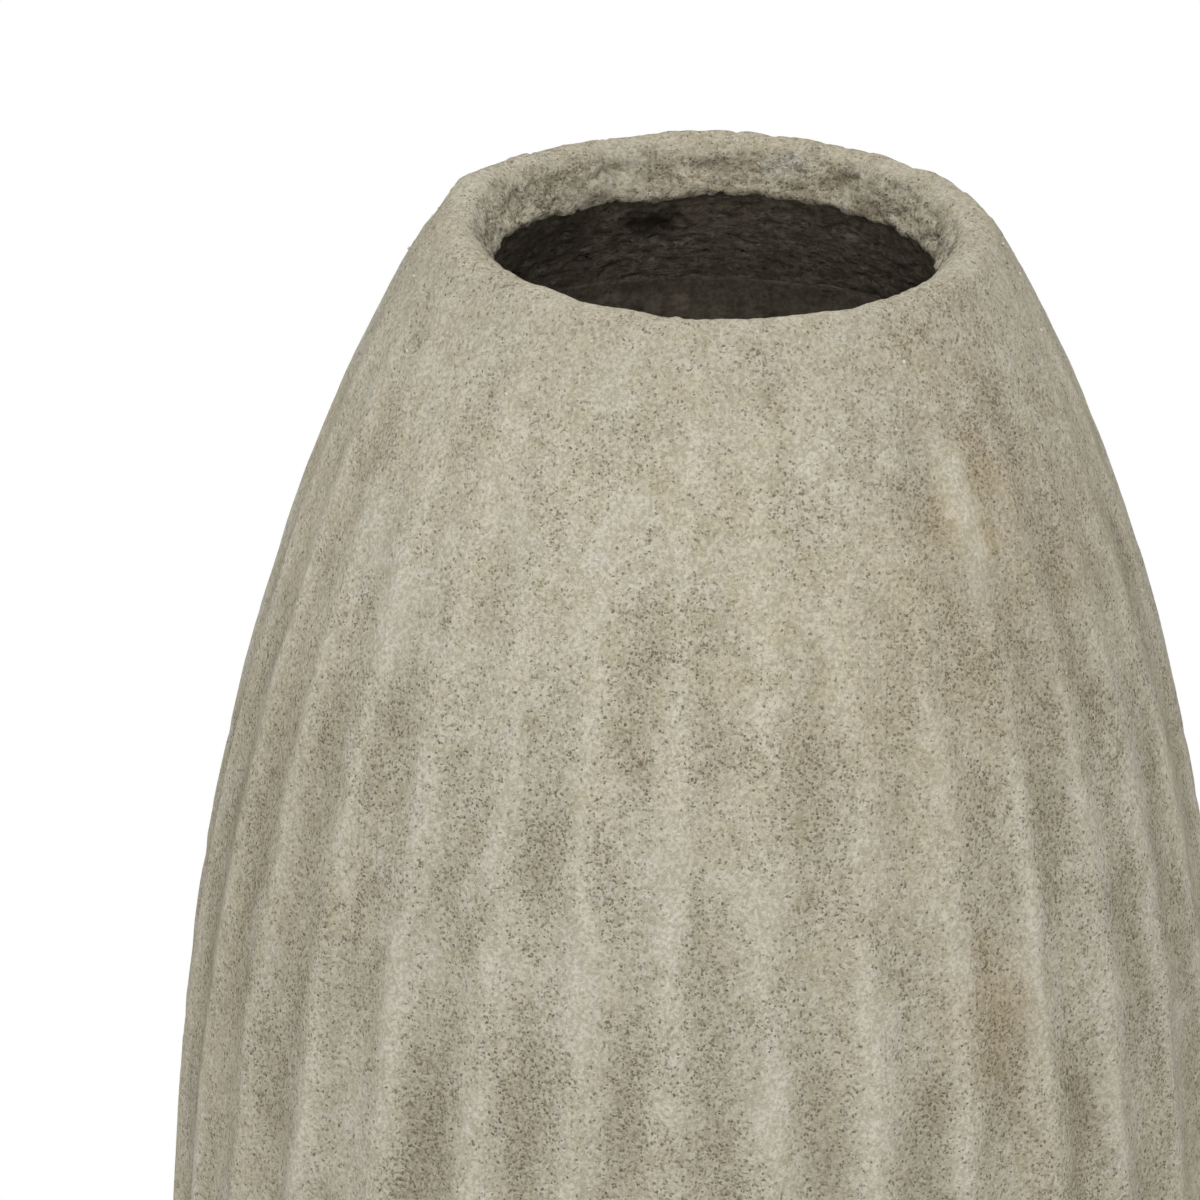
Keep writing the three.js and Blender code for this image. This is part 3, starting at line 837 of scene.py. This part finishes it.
def sand_skin_finish():
    """Sand and lime: grey-beige, speckled with dark pores in patches, darker in the hollows with dirt and
    painted shade, paler where a crest was rubbed and with a painted highlight on the crests, paler over
    the shoulder with painted light, darker on the right shoulder with a stain and painted shade, with a
    painted highlight along one flute, warmer in a few places, and darker on the slope inside the rim,
    with painted shade in its crevices."""
    material, tree, place, surface = new_finish("sand_skin")
    grime_and_shade, crest, roll, rim = (marked(tree, name) for name in ("grime_and_shade", "crest", "roll", "rim"))
    up = node(tree, "ShaderNodeSeparateXYZ", {0: place}).outputs["Z"]
    high = ramped(tree, up, 0.33, 0.42)
    ragged = noise(tree, place, size=0.010, detail=6.0, roughness=0.72)
    dense, pale, cream_highlight, stain_and_shade, warm, brown = (
        marks_at(tree, place, ragged, marks) for marks in (
            dense_marks, pale_marks, cream_highlight_marks, stain_and_shade_marks, warm_marks, brown_marks))
    broad = clouds(tree, place, size=0.080, upright=1.4, low=0.36, high=0.64)
    patches = clouds(tree, place, size=0.015, upright=2.4, low=0.42, high=0.70)
    patches = calc(tree, "MULTIPLY", patches, ramped(tree, high, 0.0, 1.0, 1.0, 0.6))
    patches = calc(tree, "MAXIMUM", patches, calc(tree, "MULTIPLY", dense, 0.75))
    mottle = clouds(tree, place, size=0.006, upright=1.2, low=0.32, high=0.68)
    elsewhere = vector(tree, "ADD", place, (0.3, 0.1, 0.2))
    rubbed = clouds(tree, elsewhere, size=0.020, upright=1.6, low=0.50, high=0.70)
    rubbed = calc(tree, "MAXIMUM", rubbed, pale)
    worn = calc(tree, "MULTIPLY", rubbed, calc(tree, "MULTIPLY_ADD", grime_and_shade, -0.5, 0.9))
    clusters = noise(tree, place, size=0.0032, roughness=0.6)
    drags = clouds(tree, place, size=0.010, upright=0.35, low=0.40, high=0.62)
    dragged = calc(tree, "MULTIPLY", roll, drags)
    pore_share = calc(tree, "MULTIPLY_ADD", patches, 0.85, -0.12)
    for mask, more in (
            (clusters, 0.85), (grime_and_shade, 0.35), (stain_and_shade, 0.26), (crest, -0.15), (worn, -0.45),
            (high, -0.06), (rim, 0.06), (cream_highlight, -1.0), (dragged, 0.55)):
        pore_share = calc(tree, "MULTIPLY_ADD", mask, more, pore_share)
    sand = grain_of(tree, place, skin_grain, pore_share)
    # Painted light: paler from about 0.35 m up, where the shoulder faces up towards the light.
    shoulder_light = ramped(tree, up, 0.33, 0.36, 1.0, 1.035)
    handled = ramped(tree, up, 0.405, 0.435, 1.0, 0.94)
    colour = blended(tree, broad, tint(202, 197, 180), tint(199, 191, 169))
    colour = times(tree, colour, calc(tree, "MULTIPLY", shoulder_light, handled))
    for mask, share, tone in (
            (patches, 0.36, (174, 165, 142)), (worn, 0.45, (204, 203, 192)),
            # darker hollows are dirt and painted shade, paler crests are wear and a painted highlight
            (grime_and_shade, 0.45, (160, 151, 128)), (crest, 0.30, (212, 207, 191)),
            # the darker right shoulder is a stain and painted shade
            (rim, 0.42, (172, 163, 141)), (stain_and_shade, 0.50, (168, 156, 130)),
            # the cream mark is a painted highlight along one flute
            (warm, 0.30, (190, 168, 134)), (brown, 0.8, (122, 94, 62)), (cream_highlight, 0.8, (214, 208, 188))):
        colour = washed(tree, colour, mask, share, tone)
    # Darker on the slope inside the rim, in dragged streaks.
    slope_darkening = calc(tree, "MULTIPLY", roll, calc(tree, "MULTIPLY_ADD", drags, 0.44, 0.02))
    colour = blended(tree, slope_darkening, colour, tint(118, 109, 90))
    crumbs = noise(tree, upright_stretch(tree, place, 0.7), size=0.0030, detail=3.0, roughness=0.6)
    # Painted shade: darker in the crevices of the crumbly slope inside the rim, where its raised grain is
    # low.
    crevice_shade = calc(tree, "MULTIPLY", roll, ramped(tree, crumbs, 0.30, 0.50, 0.55, 0.0))
    colour = blended(tree, crevice_shade, colour, tint(88, 78, 59))
    smudges = slope_marks_at(tree, place, ragged, slope_marks)
    colour = washed(tree, colour, smudges, 0.45, (92, 82, 63))
    bluish = slope_marks_at(tree, place, ragged, slope_pale_marks)
    colour = washed(tree, colour, bluish, 0.5, (184, 186, 178))
    speckle = ramped(tree, sand["Speckle"], 0.34, 0.66)
    colour = times(tree, colour, blended(tree, speckle, dark_grain, light_grain))
    colour = times(tree, colour, blended(tree, mottle, light_mottle, dark_mottle))
    pores = calc(tree, "MULTIPLY", sand["Pores"], ramped(tree, high, 0.0, 1.0, 0.86, 0.78))
    colour = blended(tree, pores, colour, tint(86, 75, 53))
    roughness = ramped(tree, sand["Speckle"], 0.2, 0.8, 1.0, 0.9)
    height = calc(tree, "MULTIPLY_ADD", calc(tree, "MULTIPLY", crumbs, roll), 2.5, sand["Height"])
    end_finish(tree, surface, colour, roughness, height, relief=0.0005)
    return material


sand_skin = sand_skin_finish()
lip_round = skin_thickness / 2
lip_centre = rim_centre + (rim_round - lip_round) * inward + lip_face * down_the_lip
outside_line = wall_line(skin_edge, rim_start[1], 0, skin_step)
roll_line = spaced(np.vstack([
    arc(rim_centre, rim_round, rim_lean, 180 - lip_lean),
    arc(lip_centre, lip_round, 180 - lip_lean, 360 - lip_lean),
]), rim_step)[1:]
inside_line = np.vstack([
    arc(rim_centre, rim_round - skin_thickness, 180 - lip_lean, rim_lean, 6),
    wall_line(skin_edge, rim_centre[1], skin_thickness, hidden_step)[::-1],
])
skin_outline = np.vstack([outside_line, roll_line, inside_line])
on_outside, on_roll, on_inside = np.repeat(
    np.eye(3), [len(outside_line), len(roll_line), len(inside_line)], axis=0).T
angles = np.radians(np.linspace(-20, 380, 40001))
crest_drift = slow_drift * np.sin(angles + slow_start)
crest_drift += quick_drift * np.sin(quick_waves * angles + quick_start)
crest_angles = (np.arange(flutes)[:, None] + flute_places) * 2 * math.pi / flutes
skin_around = np.interp(crest_angles.ravel(), angles - flute_turn - crest_drift, angles) - math.pi / 2
near_rim = np.interp(skin_outline[:, 1], [rim_worked_from, vase_height], [0, 1])
rolled_in = np.interp(rim_centre[0] - skin_outline[:, 0], [0.4 * rim_round, rim_round], [0, 1])
skin = turned(
    "fluted_sand_skin", skin_outline, skin_around,
    outside=on_outside,
    worked=on_outside + on_roll,
    rim=on_outside * near_rim + on_roll,
    rubbed=on_outside * (skin_outline[:, 1] > rim_worked_from),
    roll=on_roll * rolled_in + on_inside)

spots = np.empty(len(skin.data.vertices) * 3, np.float32)
skin.data.vertices.foreach_get("co", spots)
spots = spots.reshape(-1, 3)
for knock_angle, radius, height, knock_reach, knock_out, knock_up in rim_knocks:
    apart = spots - np.array(around_vase(knock_angle, radius, height))
    nearness = np.exp(-(apart ** 2).sum(axis=1) / (2 * knock_reach ** 2))
    spots += nearness[:, None] * np.array(around_vase(knock_angle, knock_out, knock_up))
skin.data.vertices.foreach_set("co", spots.ravel())
shaped(
    skin,
    (drawn_flutes, {
        "Flutes": flutes, "Depth": flute_depth, "Turn": flute_turn, "Crest round": crest_round,
        "Slow drift": slow_drift, "Slow start": slow_start, "Quick drift": quick_drift,
        "Quick start": quick_start, "Quick waves": quick_waves, "Sway": flute_sway,
        "Top": vase_height - flute_top_band, "Top fade": flute_top_fade,
        "Foot": flute_foot_band, "Foot fade": flute_foot_fade,
        "Firm place": around_vase(firm_angle, wall_radius(firm_height, 0), firm_height),
        "Firm reach": firm_reach, "Firm press": firm_press, "Material": sand_skin}),
    hand_work(sand_skin, lumps=(0.018, 0.0006), pits=(0.006, 0.0003), upright=1.3),
    hand_work(sand_skin, lumps=(0.012, 0.0014), pits=(0.0045, 0.0007), upright=0.8, mark="rim", lean=0.0),
    hand_work(sand_skin, lumps=(0.005, 0.0013), pits=(0.0034, 0.0013), upright=0.7, mark="roll", lean=0.0))
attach(skin, "root")
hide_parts("fluted_skin")


# Sand grit: the coarsest grains of the sand in the skin, which stayed proud of it where the rim was
# rubbed smooth. They lie half bedded, each with its own size, turn and colour.
grit_spacing = 0.0120
grit_smallest = 0.00025
grit_largest = 0.00050
grit_seed = 7


def by_chance(tree, seed, low, high):
    """A number, or a vector, that each grain draws for itself between two ends."""
    kind, first, result = ("FLOAT_VECTOR", 0, 0) if isinstance(low, tuple) else ("FLOAT", 2, 1)
    inputs = {first: low, first + 1: high, "Seed": seed}
    return node(tree, "FunctionNodeRandomValue", inputs, data_type=kind).outputs[result]


# Bedded grit: faceted grains strewn over the faces whose vertices carry a mark
bedded_grit, given, made = node_group(
    "GeometryNodeTree", "Bedded grit",
    {"Geometry": "Geometry", "Mark": "String", "Spacing": "Float", "Smallest": "Float",
     "Largest": "Float", "Seed": "Int", "Material": "Material"},
    {"Geometry": "Geometry"})
tree = bedded_grit
density = calc(tree, "DIVIDE", 1.0, calc(tree, "MULTIPLY", given["Spacing"], given["Spacing"]))
strewn = node(tree, "GeometryNodeDistributePointsOnFaces", {
    "Mesh": given["Geometry"], "Selection": carried(tree, given["Mark"]), "Density": density,
    "Seed": given["Seed"]}).outputs["Points"]
strewn = kept_on(tree, strewn, "tone", by_chance(tree, given["Seed"], 0.0, 1.0))
turn = by_chance(tree, given["Seed"], (0, 0, 0), (6.28, 6.28, 6.28))
build = by_chance(tree, given["Seed"], (0.7, 0.7, 0.7), (1.3, 1.3, 1.3))
size = by_chance(tree, given["Seed"], given["Smallest"], given["Largest"])
grain = node(tree, "GeometryNodeMeshIcoSphere", {"Radius": 1.0, "Subdivisions": 1}).outputs["Mesh"]
grains = node(tree, "GeometryNodeInstanceOnPoints", {
    "Points": strewn, "Instance": grain, "Rotation": turn, "Scale": scaled(tree, build, size)})
end_tree(tree, grains.outputs[0], given, made)


def sand_grit_finish():
    """Grains of quartz, lime and dark stone, each of one colour with a faint cloud in it."""
    material, tree, place, surface = new_finish("sand_grit")
    tone = marked(tree, "tone")
    cloud = noise(tree, place, size=0.0005)
    colour = blended(tree, ramped(tree, tone, 0.10, 0.25), tint(112, 102, 82), tint(172, 163, 141))
    colour = blended(tree, ramped(tree, tone, 0.55, 0.95), colour, tint(214, 209, 195))
    colour = times(tree, colour, ramped(tree, cloud, 0.3, 0.7, 0.85, 1.12))
    roughness = ramped(tree, tone, 0.0, 1.0, 0.9, 0.6)
    end_finish(tree, surface, colour, roughness, cloud, relief=0.0001)
    return material


grit = placed("sand_grit", skin.data.copy())
shaped(grit, (bedded_grit, {
    "Mark": "rubbed", "Spacing": grit_spacing, "Smallest": grit_smallest, "Largest": grit_largest,
    "Seed": grit_seed, "Material": sand_grit_finish()}))
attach(grit, "root")


# Studio floor: a plain pale sheet that keeps the shadow of the vase near its foot and runs out into
# white further off.
floor_half = 6.0
shadow_from = 0.18
shadow_to = 0.30
floor_mesh = bpy.data.meshes.new("studio_floor")
floor_mesh.from_pydata(
    [(-floor_half, -floor_half, 0), (floor_half, -floor_half, 0),
     (floor_half, floor_half, 0), (-floor_half, floor_half, 0)], [], [(0, 1, 2, 3)])
studio_floor = placed("studio_floor", floor_mesh)


def ray_seen(tree):
    """1 for rays that show the surroundings, straight, mirrored or through glass, and 0 for light."""
    path = node(tree, "ShaderNodeLightPath").outputs
    mirrored = calc(tree, "MAXIMUM", path["Is Camera Ray"], path["Is Glossy Ray"])
    return calc(tree, "MAXIMUM", mirrored, path["Is Transmission Ray"])


def studio_floor_finish():
    """Pale paper, which takes the shadow near the vase and turns to plain white further off."""
    material, tree, place = new_material("studio_floor")
    away = ramped(tree, length(tree, place), shadow_from, shadow_to)
    clear = calc(tree, "MULTIPLY", away, ray_seen(tree))
    paper = node(tree, "ShaderNodeBsdfDiffuse", {"Color": tint(238, 238, 236)}).outputs[0]
    white = node(tree, "ShaderNodeEmission", {"Color": tint(255, 255, 255), "Strength": 1.0}).outputs[0]
    shown = node(tree, "ShaderNodeMixShader", {0: clear, 1: paper, 2: white}).outputs[0]
    tree.links.new(shown, node(tree, "ShaderNodeOutputMaterial").inputs["Surface"])
    return material


floor_mesh.materials.append(studio_floor_finish())


# Studio light: an even white surround, a large soft lamp overhead and a second one in front, above
# the camera.
surround_level = 0.40
lamp_aim = Vector((0, 0, 0.35))
lamp_size = 1.2
lamps = {"overhead_lamp": ((-0.05, -0.32, 1.92), 13.0), "front_lamp": ((-0.05, -1.96, 1.39), 17.2)}

world = bpy.data.worlds.new("studio")
world.use_nodes = True
tree = world.node_tree
tree.nodes.clear()
strength = calc(tree, "MULTIPLY_ADD", ray_seen(tree), 1.0 - surround_level, surround_level)
surround = node(tree, "ShaderNodeBackground", {"Color": tint(255, 255, 255), "Strength": strength})
tree.links.new(surround.outputs[0], node(tree, "ShaderNodeOutputWorld").inputs["Surface"])
bpy.context.scene.world = world

for name, (lamp_place, lamp_power) in lamps.items():
    lamp = bpy.data.lights.new(name, "AREA")
    lamp.size = lamp_size
    lamp.energy = lamp_power
    lamp_stand = placed(name, lamp)
    lamp_stand.location = lamp_place
    lamp_stand.rotation_euler = (lamp_aim - Vector(lamp_place)).to_track_quat("-Z", "Y").to_euler()
    lamp_stand.visible_camera = False


# Camera: a long lens that looks down on the upper part of the vase from the front. It is turned a little
# to the left and rolled, so that the vase stands right of the middle and is cut off at the belly.
camera_ahead = 1.7436
camera_height = 1.137
camera_lens = 225.7
look_down = math.radians(24.38)
look_aside = math.radians(-0.92)
camera_roll = math.radians(0.48)

camera = bpy.data.cameras.new("camera")
camera.lens = camera_lens
camera.sensor_width = 36
camera_stand = placed("camera", camera)
ahead = Vector((
    math.sin(look_aside) * math.cos(look_down),
    math.cos(look_aside) * math.cos(look_down),
    -math.sin(look_down)))
level_right = Vector((math.cos(look_aside), -math.sin(look_aside), 0))
level_up = level_right.cross(ahead)
right = math.cos(camera_roll) * level_right + math.sin(camera_roll) * level_up
up = right.cross(ahead)
camera_stand.matrix_world = Matrix.Translation((0, -camera_ahead, camera_height)) @ Matrix(
    (right, up, -ahead)).transposed().to_4x4()
bpy.context.scene.camera = camera_stand
bpy.context.scene.view_settings.view_transform = "Standard"
